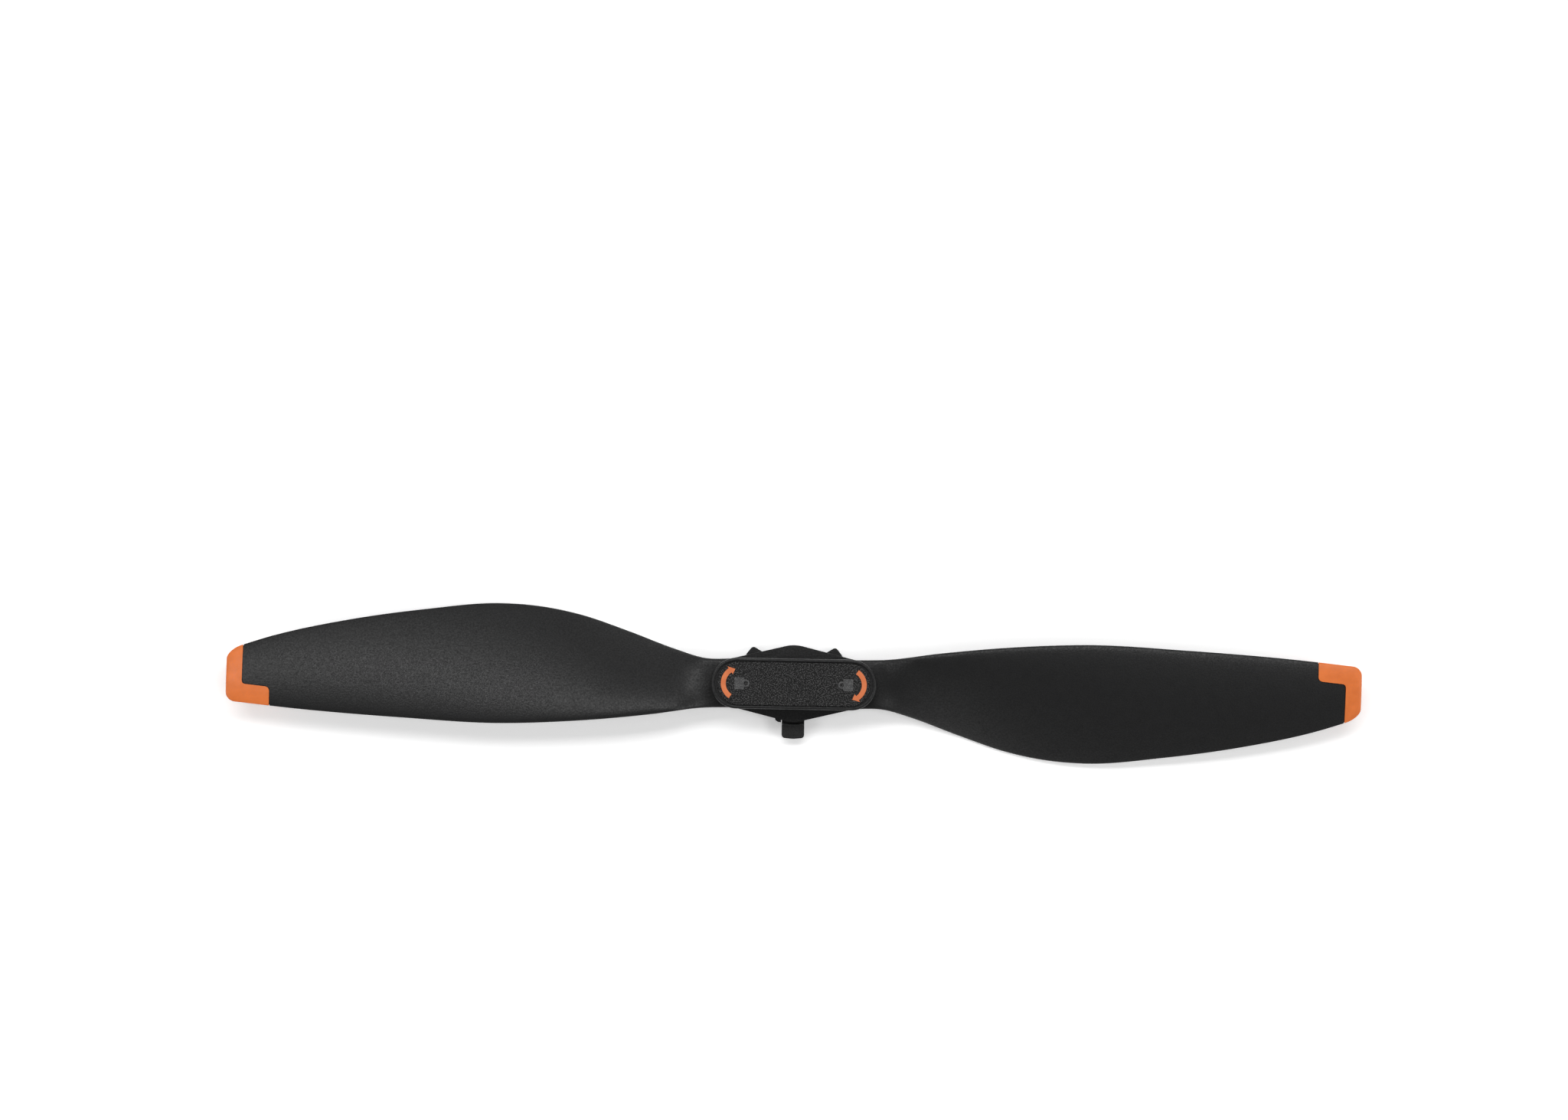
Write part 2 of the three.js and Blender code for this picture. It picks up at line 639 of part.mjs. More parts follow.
// One blade with everything on its pivot. Blade A is blade B turned half a turn.
function addBlade(letter, turn) {
  const group = new THREE.Group();
  group.rotation.z = turn;
  propeller.add(group);
  addPart(`blade_${letter}`, bladeGeometry(), "blackPlastic", group);
  addPart(`blade_${letter}_tip`, bladeTipGeometry(), "orangePlastic", group);
  const sleeveBore = SHANK_RADIUS + BORE_GAP;
  const sleeve = tube(sleeveBore, SLEEVE_RADIUS, BASE_TOP_Z, COVER_BOTTOM_Z, PIVOT_X);
  addPart(`pivot_sleeve_${letter}`, sleeve, "steel", group);
  const washerBore = SLEEVE_RADIUS + BORE_GAP;
  const upperBottom = COVER_BOTTOM_Z - WASHER_THICKNESS;
  const lower = tube(washerBore, WASHER_RADIUS, BASE_TOP_Z, BASE_TOP_Z + WASHER_THICKNESS, PIVOT_X);
  const upper = tube(washerBore, WASHER_RADIUS, upperBottom, COVER_BOTTOM_Z, PIVOT_X);
  addPart(`washer_${letter}_lower`, lower, "washerPlastic", group);
  addPart(`washer_${letter}_upper`, upper, "washerPlastic", group);
  const screw = screwGeometry(SHANK_RADIUS, HEAD_RADIUS, HEAD_HEIGHT, RING_TOP_Z, SHANK_TOP_Z);
  addPart(`pivot_screw_${letter}`, screw, "steel", group).position.set(PIVOT_X, 0, 0);
}

addHub();
addBlade("b", 0);
addBlade("a", Math.PI);

export default propeller;
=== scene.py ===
"""The looks of a folding quick-release drone propeller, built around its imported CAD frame.

Lengths are in millimetres, in the frame's own axes, until mesh_object turns them into metres.
u is the distance from the spin axis along a blade, and v the distance from the blade's axis
towards its leading edge, as in the CAD. Blade B lies along +X, and blade A is blade B turned half
a turn.
"""

import json
import math

import bmesh
import bpy
import numpy as np
from mathutils import Matrix, Vector, noise


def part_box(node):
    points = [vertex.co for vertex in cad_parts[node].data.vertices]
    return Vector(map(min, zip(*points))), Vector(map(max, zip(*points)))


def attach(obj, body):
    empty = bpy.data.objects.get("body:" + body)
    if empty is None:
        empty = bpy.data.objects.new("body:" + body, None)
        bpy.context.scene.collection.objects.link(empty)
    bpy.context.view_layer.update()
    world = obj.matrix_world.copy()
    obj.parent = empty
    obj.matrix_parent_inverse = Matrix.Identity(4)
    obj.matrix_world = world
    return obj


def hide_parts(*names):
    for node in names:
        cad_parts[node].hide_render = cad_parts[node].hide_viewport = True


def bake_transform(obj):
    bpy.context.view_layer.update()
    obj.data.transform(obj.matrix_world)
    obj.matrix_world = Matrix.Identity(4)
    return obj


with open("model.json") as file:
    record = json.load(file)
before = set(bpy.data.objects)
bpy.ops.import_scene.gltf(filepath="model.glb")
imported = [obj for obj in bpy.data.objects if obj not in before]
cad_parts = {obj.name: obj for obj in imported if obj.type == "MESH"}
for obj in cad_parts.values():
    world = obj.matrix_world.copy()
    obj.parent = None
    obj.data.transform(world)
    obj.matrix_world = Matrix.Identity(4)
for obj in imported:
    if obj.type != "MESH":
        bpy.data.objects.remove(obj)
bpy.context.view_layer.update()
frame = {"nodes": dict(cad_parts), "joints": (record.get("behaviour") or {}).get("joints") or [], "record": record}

MM = 0.001
HALF_TURN = Matrix.Rotation(math.pi, 4, "Z")

record = frame["record"]
nodes_by_body = record["behaviour"]["bodies"]
body_by_node = {node: body for body, nodes in nodes_by_body.items() for node in nodes}
slot_by_node = {part["node"]: part["material_slot"] for part in record["subparts"]}


def cad_low(node):
    """A CAD node's lowest corner, in millimetres."""
    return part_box(node)[0] / MM


def cad_high(node):
    """A CAD node's highest corner, in millimetres."""
    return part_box(node)[1] / MM


# Places and sizes that the frame gives
PIVOT_U = next(j["pos_m"][0] for j in frame["joints"] if j["name"] == "blade_b_fold") / MM
TIP_U = cad_high("blade_b_tip").x
SLEEVE_RADIUS = (cad_high("pivot_sleeve_b").x - cad_low("pivot_sleeve_b").x) / 2
FACE_GAP = 0.06
EYE_BOTTOM = cad_high("washer_b_lower").z + FACE_GAP
EYE_TOP = cad_low("washer_b_upper").z - FACE_GAP
COVER_BOTTOM = cad_low("hub_cover").z
COVER_TOP = cad_high("hub_cover").z
COVER_RADIUS = cad_high("hub_cover").y
INLAY_BOTTOM = cad_low("grip_inlay").z
INLAY_TOP = cad_high("grip_inlay").z
INLAY_RADIUS = cad_high("grip_inlay").y
INLAY_CENTRE = cad_high("grip_inlay").x - INLAY_RADIUS

# The blade, with the CAD's own driving sizes
PITCH = TIP_U
EYE_RADIUS = 3.3
LEADING_EDGE = [
    (PIVOT_U, EYE_RADIUS), (12.5, 3.46), (19, 4.38), (30, 5.5), (40, 5.95), (52, 5.46), (66, 4.56),
    (TIP_U, 3.58),
]
TRAILING_EDGE = [
    (PIVOT_U, EYE_RADIUS), (12, 3.28), (16, 4.38), (22, 6.53), (29, 8.8), (34, 9.76), (39.5, 10.12),
    (50, 9.12), (60, 7.56), (70, 5.27), (TIP_U, 3.25),
]
LEADING_CORNER = (1.2, 1.2)
TRAILING_CORNER = (2.0, 1.2)
THICKNESS = [
    (PIVOT_U, EYE_TOP - EYE_BOTTOM), (14, EYE_TOP - EYE_BOTTOM), (24, 1.85), (40, 1.35), (60, 0.95),
    (TIP_U, 0.7),
]
CAMBER_SHARE = 0.045
EDGE_SHARE = 0.3
SLAB_POWER = 8
TWIST_START, TWIST_FULL = 10.9, 16.5
HELIX_START = 23
AIRFOIL_START, AIRFOIL_FULL = 11.5, 21
CONE = math.tan(math.radians(0.9))
END_ROUNDING = 0.3
BORE_GAP = 0.05

# The orange tip, seen from above
TIP_BAND = 2.15
TIP_ARM = 5.85
TIP_ARM_WIDTH = 2.53
TIP_ARM_CORNER = 0.65
TIP_BAND_CORNER = 0.5
TIP_SEAM = 0.1
SEAM_DEPTH = 0.12
SEAM_REACH = 0.4
SEAM_CLEARANCE = 0.005
BEYOND_EDGES = 9
CUT_MARGIN = 1

# How finely the blade is drawn
SECTION_POINTS = 72
STATION_STEP = 0.6
STATION_GAP = 0.05
END_STATIONS = 10
LAST_STATION = TIP_U - 0.001

# The cover's rim and groove, and the eroded grain of its inlay
RIM_RADIUS = 3.0
RIM_CENTRE = 7.66
GROOVE_DEPTH = 0.3
SEAT_GAP = 0.01
GRAIN_STEP = 0.07
GRAIN_DEPTH = 0.016
GRAIN_COARSE, GRAIN_FINE = 6.0, 11.0
INLAY_EDGE = 0.05


# ---- Curves ------------------------------------------------------------------------------------


def smooth_through(points, x):
    """The height at x of a smooth curve through the points, in cubic pieces that share slopes."""
    xs = np.array([p[0] for p in points], float)
    ys = np.array([p[1] for p in points], float)
    steps = np.diff(xs)
    rises = np.diff(ys) / steps
    slopes = np.empty(len(xs))
    slopes[0], slopes[-1] = rises[0], rises[-1]
    slopes[1:-1] = (rises[:-1] * steps[1:] + rises[1:] * steps[:-1]) / (steps[:-1] + steps[1:])
    i = int(np.clip(np.searchsorted(xs, x) - 1, 0, len(steps) - 1))
    t = (x - xs[i]) / steps[i]
    leave = slopes[i] * steps[i] * t * (1 - t) ** 2
    arrive = slopes[i + 1] * steps[i] * t * t * (t - 1)
    return ys[i] * (1 + 2 * t) * (1 - t) ** 2 + ys[i + 1] * t * t * (3 - 2 * t) + leave + arrive


def ease(x, start, end):
    """0 before start, 1 after end, and smooth between."""
    t = min(1.0, max(0.0, (x - start) / (end - start)))
    return t * t * (3 - 2 * t)


def arc(centre_x, centre_y, radius, start, end, count):
    """count + 1 points along an arc, with its angles in radians."""
    angles = np.linspace(start, end, count + 1)
    return [(centre_x + radius * math.cos(a), centre_y + radius * math.sin(a)) for a in angles]


def round_ended(centre_x, radius, arc_steps=32, side_steps=1):
    """The outline of a bar with round ends: two half circles and two straight sides."""
    right = arc(centre_x, 0, radius, -math.pi / 2, math.pi / 2, arc_steps)
    left = [(-x, -y) for x, y in right]
    shares = [k / side_steps for k in range(1, side_steps)]
    top = [(centre_x * (1 - 2 * s), radius) for s in shares]
    bottom = [(-x, -y) for x, y in top]
    return right + top + left + bottom


def rounded(corners, steps=8):
    """An outline through (x, y, radius) corners, each corner eased over its radius."""
    outline = []
    for i, (x, y, radius) in enumerate(corners):
        corner = Vector((x, y))
        start = corner + (Vector(corners[i - 1][:2]) - corner).normalized() * radius
        end = corner + (Vector(corners[(i + 1) % len(corners)][:2]) - corner).normalized() * radius
        shares = [k / steps for k in range(steps + 1)] if radius else [0]
        for t in shares:
            point = start * (1 - t) ** 2 + corner * 2 * t * (1 - t) + end * t * t
            outline.append((point.x, point.y))
    return outline


# ---- Meshes ------------------------------------------------------------------------------------


def placed(name, mesh):
    """A new object in the scene that shows the mesh."""
    made = bpy.data.objects.new(name, mesh)
    bpy.context.scene.collection.objects.link(made)
    return made


def weld(mesh):
    """Joins the points of a mesh that meet, and turns its faces outwards."""
    work = bmesh.new()
    work.from_mesh(mesh)
    bmesh.ops.remove_doubles(work, verts=work.verts, dist=1e-7)
    bmesh.ops.recalc_face_normals(work, faces=work.faces)
    work.to_mesh(mesh)
    work.free()


def mesh_object(name, points, faces):
    """A new mesh object from points in millimetres, with its faces turned outwards."""
    mesh = bpy.data.meshes.new(name)
    mesh.from_pydata([Vector(p) * MM for p in points], [], faces)
    weld(mesh)
    return placed(name, mesh)


def loft(name, rings):
    """A closed skin over rings that have equal numbers of points."""
    size = len(rings[0])
    faces = [tuple(range(size)), tuple(range((len(rings) - 1) * size, len(rings) * size))]
    for ring in range(len(rings) - 1):
        for i in range(size):
            a, b = ring * size + i, ring * size + (i + 1) % size
            faces.append((a, b, b + size, a + size))
    return mesh_object(name, [p for ring in rings for p in ring], faces)


def prism(name, outline, bottom, top):
    """An outline raised from one level to another."""
    return loft(name, [[(x, y, z) for x, y in outline] for z in (bottom, top)])


def post(name, radius, bottom, top, x=0.0, y=0.0, steps=64):
    """An upright round bar."""
    return prism(name, arc(x, y, radius, 0, 2 * math.pi, steps)[:-1], bottom, top)


def settle(piece):
    """Turns a piece's modifiers into its mesh."""
    graph = bpy.context.evaluated_depsgraph_get()
    mesh = bpy.data.meshes.new_from_object(piece.evaluated_get(graph))
    piece.modifiers.clear()
    piece.data = mesh
    return piece


def combine(piece, tool, operation):
    """Cuts or joins a piece with a tool, which is then thrown away."""
    modifier = piece.modifiers.new("combine", "BOOLEAN")
    modifier.operation = operation
    modifier.solver = "EXACT"
    modifier.object = tool
    settle(piece)
    bpy.data.objects.remove(tool)
    return piece


def copy_of(piece, name):
    """A second object with its own copy of the mesh."""
    return placed(name, piece.data.copy())


def bevel(piece, width, segments=3, angle=35):
    """Rounds every edge that turns by more than the angle."""
    modifier = piece.modifiers.new("bevel", "BEVEL")
    modifier.width = width * MM
    modifier.segments = segments
    modifier.limit_method = "ANGLE"
    modifier.angle_limit = math.radians(angle)
    modifier.harden_normals = True
    return settle(piece)


def smooth(piece, angle=35):
    """Smooth shading, with edges that turn by more than the angle kept crisp."""
    piece.data.polygons.foreach_set("use_smooth", [True] * len(piece.data.polygons))
    piece.data.set_sharp_from_angle(angle=math.radians(angle))
    return piece


def stands_for(piece, node, material):
    """The piece is shown in a CAD node's place, in this material."""
    piece.data.materials.clear()
    piece.data.materials.append(material)
    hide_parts(node)


def belongs(piece, node, material):
    """The piece is shown in a CAD node's place and rides on that node's body."""
    stands_for(piece, node, material)
    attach(piece, body_by_node[node])


# ---- Materials ---------------------------------------------------------------------------------


class Shader:
    """A Principled material whose patterns are worked out from the object's own coordinates."""

    def __init__(self, name):
        self.material = bpy.data.materials.new(name)
        self.material.use_nodes = True
        self.nodes = self.material.node_tree.nodes
        self.links = self.material.node_tree.links
        self.surface = self.nodes["Principled BSDF"]
        self.place = self.nodes.new("ShaderNodeTexCoord").outputs["Object"]

    def set(self, **values):
        for name, value in values.items():
            self.surface.inputs[name.replace("_", " ")].default_value = value

    def noise(self, feature, detail=2.0, stretch=(1, 1, 1)):
        """Noise with features of about this many millimetres, stretched along the axes."""
        mapping = self.nodes.new("ShaderNodeMapping")
        mapping.inputs["Scale"].default_value = [1 / s for s in stretch]
        self.links.new(self.place, mapping.inputs["Vector"])
        texture = self.nodes.new("ShaderNodeTexNoise")
        texture.inputs["Scale"].default_value = 1 / (feature * MM)
        texture.inputs["Detail"].default_value = detail
        self.links.new(mapping.outputs["Vector"], texture.inputs["Vector"])
        return texture.outputs["Fac"]

    def spread(self, value, low, high, source=(0.3, 0.7)):
        """The value carried from the source range to another range."""
        node = self.nodes.new("ShaderNodeMapRange")
        limits = ("From Min", source[0]), ("From Max", source[1]), ("To Min", low), ("To Max", high)
        for name, limit in limits:
            node.inputs[name].default_value = limit
        self.links.new(value, node.inputs["Value"])
        return node.outputs["Result"]

    def blend(self, share, first, second):
        """A colour between two colours."""
        node = self.nodes.new("ShaderNodeMix")
        node.data_type = "RGBA"
        node.inputs[6].default_value = (*first, 1)
        node.inputs[7].default_value = (*second, 1)
        self.links.new(share, node.inputs[0])
        return node.outputs[2]

    def add(self, first, second, weight):
        """first + second * weight."""
        node = self.nodes.new("ShaderNodeMath")
        node.operation = "MULTIPLY_ADD"
        node.inputs[1].default_value = weight
        self.links.new(second, node.inputs[0])
        self.links.new(first, node.inputs[2])
        return node.outputs[0]

    def colour(self, source):
        self.links.new(source, self.surface.inputs["Base Color"])

    def roughness(self, source):
        self.links.new(source, self.surface.inputs["Roughness"])

    def shine(self, source):
        self.links.new(source, self.surface.inputs["Specular IOR Level"])

    def relief(self, height, depth):
        """Bumps of this many millimetres from a height of 0 to 1."""
        node = self.nodes.new("ShaderNodeBump")
        node.inputs["Distance"].default_value = depth * MM
        self.links.new(height, node.inputs["Height"])
        self.links.new(node.outputs["Normal"], self.surface.inputs["Normal"])


def satin_plastic(name, dark, light, roughness, grain=0.22, relief=0.028):
    """Moulded plastic: faint mottling, and a fine skin texture that shines less on its peaks."""
    shader = Shader(name)
    mottle = shader.noise(1.3, 4)
    fine = shader.noise(grain, 2)
    tint = shader.spread(shader.add(mottle, fine, 0.5), 0, 1, (0.55, 0.95))
    shader.colour(shader.blend(tint, dark, light))
    shader.roughness(shader.spread(fine, roughness - 0.05, roughness + 0.05))
    shader.shine(shader.spread(fine, 0.36, 0.19))
    shader.relief(fine, relief)
    return shader.material


def eroded_plastic(name, dark, light, roughness):
    """Spark-eroded grain: coarse speckle whose colour is painted lighter on its peaks, a painted highlight where
    light would catch them.
    """
    shader = Shader(name)
    grain = shader.noise(0.15, 2)
    # Painted highlight: the same noise as the bumps carries the colour from near-black up to the light colour on
    # the peaks.
    shader.colour(shader.blend(shader.spread(grain, 0, 1, (0.5, 0.62)), dark, light))
    shader.roughness(shader.spread(shader.noise(0.2, 2), roughness - 0.1, roughness + 0.1))
    shader.relief(grain, 0.05)
    shader.set(Specular_IOR_Level=0.25)
    return shader.material


def turned_metal(name, dark, light, roughness):
    """Turned metal: fine rings from the tool, drawn as noise squeezed along the axis."""
    shader = Shader(name)
    rings = shader.noise(0.4, 3, stretch=(1, 1, 0.08))
    shader.colour(shader.blend(shader.spread(rings, 0, 1), dark, light))
    shader.roughness(shader.spread(rings, roughness - 0.08, roughness + 0.1))
    shader.relief(rings, 0.004)
    shader.set(Metallic=1.0)
    return shader.material


def washer_film(name, dark, light, roughness):
    """A waxy low-friction film."""
    shader = Shader(name)
    cloud = shader.noise(0.8, 3)
    shader.colour(shader.blend(shader.spread(cloud, 0, 1), dark, light))
    shader.roughness(shader.spread(cloud, roughness, roughness + 0.13))
    shader.set(Subsurface_Weight=0.15, Subsurface_Scale=0.2 * MM)
    return shader.material


def make_materials():
    """One material for each of the record's slots: its dark and light colours and its finish."""
    recipes = {
        "black_plastic": (satin_plastic, (0.0078, 0.0079, 0.0081), (0.0095, 0.0096, 0.0098), 0.44),
        # The light colour here is the painted highlight on the grain's peaks.
        "grained_plastic": (eroded_plastic, (0.001, 0.001, 0.0011), (0.06, 0.06, 0.06), 0.7),
        "orange_plastic": (satin_plastic, (0.62, 0.15, 0.032), (0.7, 0.175, 0.04), 0.45, 0.2, 0.005),
        "mark_orange": (satin_plastic, (0.56, 0.145, 0.05), (0.66, 0.19, 0.07), 0.6, 0.12, 0.012),
        # The grey print's light colour is also a painted highlight on the grain's peaks.
        "mark_grey": (eroded_plastic, (0.05, 0.05, 0.051), (0.1, 0.1, 0.1), 0.65),
        "steel": (turned_metal, (0.42, 0.43, 0.44), (0.56, 0.57, 0.58), 0.28),
        "brass": (turned_metal, (0.48, 0.33, 0.09), (0.62, 0.44, 0.14), 0.3),
        "washer_plastic": (washer_film, (0.58, 0.58, 0.54), (0.72, 0.72, 0.68), 0.32),
    }
    return {slot: make(slot, *values) for slot, (make, *values) in recipes.items()}


# ---- Blades ------------------------------------------------------------------------------------


def corner_inset(u, corner):
    """How far a round corner of the tip pulls the edge in at u: a quarter of an ellipse."""
    length, depth = corner
    along = max(0.0, u - (TIP_U - length)) / length
    return depth * (1 - math.sqrt(max(0.0, 1 - along * along)))


def half_width(edge, u, corner):
    """The blade's width on one side: the round eye, then the edge's curve, then the tip's corner."""
    if u < PIVOT_U:
        return math.sqrt(max(0.0, EYE_RADIUS**2 - (PIVOT_U - u) ** 2))
    return smooth_through(edge, u) - corner_inset(u, corner)


def twist_slope(u):
    """How much the chord line climbs per millimetre of v: eased in from the flat root to a helix."""
    return PITCH / (2 * math.pi * max(u, HELIX_START)) * ease(u, TWIST_START, TWIST_FULL)


def slab_share(s):
    """Half thickness of a rounded slab at s from 0 to 1, as a share of its full half thickness."""
    return (1 - abs(2 * s - 1) ** SLAB_POWER) ** (1 / SLAB_POWER)


def airfoil_share(s):
    """The same for the four-digit airfoil family with a closed trailing edge."""
    half = 0.2969 * math.sqrt(s) - 0.126 * s - 0.3516 * s**2 + 0.2843 * s**3 - 0.1036 * s**4
    return 10 * max(0.0, half)


def blade_section(u, sink=0.0):
    """The closed section at u, sunk a little below the blade's own surface if asked.

    It runs over the top from the leading edge, and back underneath.
    """
    lead = half_width(LEADING_EDGE, u, LEADING_CORNER) - sink
    chord = lead + half_width(TRAILING_EDGE, u, TRAILING_CORNER) - sink
    end = max(0.0, u - (TIP_U - END_ROUNDING)) / END_ROUNDING
    rounding = math.sqrt(max(0.0, 1 - end * end))
    half = smooth_through(THICKNESS, max(u, PIVOT_U)) / 2 * rounding - sink
    airfoil = ease(u, AIRFOIL_START, AIRFOIL_FULL)
    axis_z = (EYE_BOTTOM + EYE_TOP) / 2 + max(0.0, u - PIVOT_U) * CONE
    section = []
    for i in range(SECTION_POINTS):
        angle = 2 * math.pi * i / SECTION_POINTS
        s = (1 - math.cos(angle)) / 2
        v = lead - s * chord
        thin = EDGE_SHARE * slab_share(s) + (1 - EDGE_SHARE) * airfoil_share(s)
        share = slab_share(s) * (1 - airfoil) + thin * airfoil
        side = 0 if i % (SECTION_POINTS // 2) == 0 else math.copysign(1, math.sin(angle))
        camber = airfoil * CAMBER_SHARE * chord * 4 * s * (1 - s)
        section.append((u, v, axis_z + v * twist_slope(u) + camber + side * share * half))
    return section


def blade_stations():
    """Where the sections stand: closer round the eye and the tip, even between."""
    quarter = [math.pi / 2 * k / END_STATIONS for k in range(END_STATIONS + 1)]
    eye = [PIVOT_U - EYE_RADIUS * math.cos(a) for a in quarter][1:-1]
    tip_start = TIP_U - TRAILING_CORNER[0]
    count = round((tip_start - PIVOT_U) / STATION_STEP)
    middle = [PIVOT_U + (tip_start - PIVOT_U) * k / count for k in range(count)]
    tip = [tip_start + TRAILING_CORNER[0] * math.sin(a) for a in quarter][:-1]
    last = [TIP_U - END_ROUNDING * (1 - math.sin(a)) for a in quarter[3:-1]] + [LAST_STATION]
    return eye + middle + [u for u in tip if u < last[0] - STATION_GAP] + last


def tip_region(seam):
    """The space of the orange tip, pulled back from its seam by an amount."""
    arm_u = TIP_U - TIP_ARM - seam
    band_u = TIP_U - TIP_BAND - seam
    end = TIP_U + CUT_MARGIN

    def arm_v(u):
        return half_width(LEADING_EDGE, u, LEADING_CORNER) - TIP_ARM_WIDTH - seam

    corners = [
        (end, BEYOND_EDGES, 0),
        (arm_u, BEYOND_EDGES, 0),
        (arm_u, arm_v(arm_u), TIP_ARM_CORNER),
        (band_u, arm_v(band_u), TIP_BAND_CORNER),
        (band_u, -BEYOND_EDGES, 0),
        (end, -BEYOND_EDGES, 0),
    ]
    return prism("tip_region", rounded(corners), -CUT_MARGIN, COVER_TOP + CUT_MARGIN)


def seam_floor():
    """Black plastic that reaches under the seam, so that the seam is a groove and not a slit."""
    start = TIP_U - TIP_ARM - 2 * SEAM_REACH
    stations = [u for u in blade_stations() if start < u < TIP_U - END_ROUNDING]
    floor = loft("seam_floor", [blade_section(u, SEAM_DEPTH) for u in stations])
    combine(floor, tip_region(SEAM_REACH), "INTERSECT")
    return combine(floor, tip_region(SEAM_CLEARANCE), "DIFFERENCE")


def build_blades(materials):
    """Both blades: blade B from the sections, and blade A as its copy turned half a turn."""
    skin = loft("blade_skin", [blade_section(u) for u in blade_stations()])
    tip = combine(copy_of(skin, "blade_b_tip_finished"), tip_region(0), "INTERSECT")
    blade = combine(copy_of(skin, "blade_b_finished"), tip_region(TIP_SEAM), "DIFFERENCE")
    combine(blade, seam_floor(), "UNION")
    bore_ends = EYE_BOTTOM - CUT_MARGIN, EYE_TOP + CUT_MARGIN
    combine(blade, post("bore", SLEEVE_RADIUS + BORE_GAP, *bore_ends, PIVOT_U), "DIFFERENCE")
    bpy.data.objects.remove(skin)
    for piece, part in ((blade, ""), (tip, "_tip")):
        smooth(piece, 40)
        other = copy_of(piece, f"blade_a{part}_finished")
        other.data.transform(HALF_TURN)
        for made, letter in ((piece, "b"), (other, "a")):
            node = f"blade_{letter}{part}"
            belongs(made, node, materials[slot_by_node[node]])


# ---- Hub ---------------------------------------------------------------------------------------


def build_cover(materials):
    """The bar over the blade roots: a rim with rounded edges, a groove, and a seat for the inlay."""
    outer, centre = COVER_RADIUS, cad_high("hub_cover").x - COVER_RADIUS
    groove = COVER_TOP - GROOVE_DEPTH
    seat = INLAY_RADIUS + SEAT_GAP
    profile = [
        (centre, outer - 0.1, COVER_BOTTOM),
        (centre, outer - 0.03, COVER_BOTTOM + 0.03),
        (centre, outer, COVER_BOTTOM + 0.1),
        (centre, outer, COVER_TOP - 0.24),
        (centre, outer - 0.02, COVER_TOP - 0.14),
        (centre, outer - 0.07, COVER_TOP - 0.06),
        (centre, outer - 0.13, COVER_TOP - 0.02),
        (centre, outer - 0.2, COVER_TOP),
        (RIM_CENTRE, RIM_RADIUS + 0.07, COVER_TOP),
        (RIM_CENTRE, RIM_RADIUS + 0.02, COVER_TOP - 0.02),
        (RIM_CENTRE, RIM_RADIUS, COVER_TOP - 0.07),
        (RIM_CENTRE, RIM_RADIUS, groove + 0.04),
        (RIM_CENTRE, RIM_RADIUS - 0.03, groove),
        (INLAY_CENTRE, seat, groove),
        (INLAY_CENTRE, seat, INLAY_BOTTOM),
    ]
    rings = [[(x, y, z) for x, y in round_ended(c, r, 48)] for c, r, z in profile]
    cover = smooth(loft("hub_cover_finished", rings), 30)
    belongs(cover, "hub_cover", materials["black_plastic"])


def grain(x, y):
    """The height of the eroded grain at a place, from about -1 to 1."""
    coarse = noise.noise(Vector((x, y, 0)) * GRAIN_COARSE)
    fine = noise.noise(Vector((x, y, 3)) * GRAIN_FINE)
    return 0.5 * coarse + fine


def build_inlay(materials):
    """The grained plate: rings of points from its edge in to its middle line."""
    side_steps = round(2 * INLAY_CENTRE / GRAIN_STEP)
    arc_steps = round(math.pi * INLAY_RADIUS / 2 / GRAIN_STEP)

    def flat_ring(radius, z):
        outline = round_ended(INLAY_CENTRE, radius, arc_steps, side_steps)
        return [(x, y, z) for x, y in outline]

    def grained_ring(radius):
        ring = flat_ring(radius, INLAY_TOP)
        return [(x, y, z + GRAIN_DEPTH * (grain(x, y) - 1)) for x, y, z in ring]

    rings = [flat_ring(INLAY_RADIUS, z) for z in (INLAY_BOTTOM, INLAY_TOP - INLAY_EDGE)]
    widest = INLAY_RADIUS - INLAY_EDGE
    count = round(widest / GRAIN_STEP)
    rings += [grained_ring(widest * (1 - k / count)) for k in range(count)]
    rings.append(grained_ring(0.0))
    inlay = smooth(loft("grip_inlay_finished", rings), 60)
    belongs(inlay, "grip_inlay", materials["grained_plastic"])


def finished_copy(node, width, segments=2):
    """A copy of a CAD node with its flat faces made whole and its edges rounded."""
    piece = copy_of(frame["nodes"][node], f"{node}_finished")
    work = bmesh.new()
    work.from_mesh(piece.data)
    bmesh.ops.remove_doubles(work, verts=work.verts, dist=1e-6)
    flat = math.radians(0.5)
    bmesh.ops.dissolve_limit(work, angle_limit=flat, verts=work.verts, edges=work.edges)
    work.to_mesh(piece.data)
    work.free()
    smooth(piece)
    return bevel(piece, width, segments)


def build_small_parts(materials):
    """The parts that keep their CAD shape: they ride on their bodies, except for the leaf spring."""
    for node, width in EDGE_ROUNDING.items():
        belongs(finished_copy(node, width), node, materials[slot_by_node[node]])


def build_spring(materials):
    """The leaf spring, whose ends stay with the hub while its middle bends with the latch in the real propeller;
    here it keeps its CAD shape, rounded, in steel and on no body.
    """
    spring = finished_copy("latch_spring", SPRING_ROUNDING)
    stands_for(spring, "latch_spring", materials["steel"])
    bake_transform(spring)


# ---- Printed marks -----------------------------------------------------------------------------

# The padlock's body is given as its left and right ends and half its width
MARK_THICKNESS = 0.02
ARROW_CENTRE = -7.36
ARROW_INNER, ARROW_OUTER = 1.76, 2.42
ARROW_TAIL, ARROW_NECK = math.radians(237), math.radians(125)
ARROW_HEAD_WIDTH, ARROW_HEAD_LENGTH, ARROW_HEAD_LEAN = 1.28, 0.7, 0.22
LOCK_BODY = (-7.96, -6.64, 0.8)
LOCK_CORNER = 0.14
SHACKLE_OUTER, SHACKLE_INNER = 0.5, 0.29
SHACKLE_REACH = 0.21


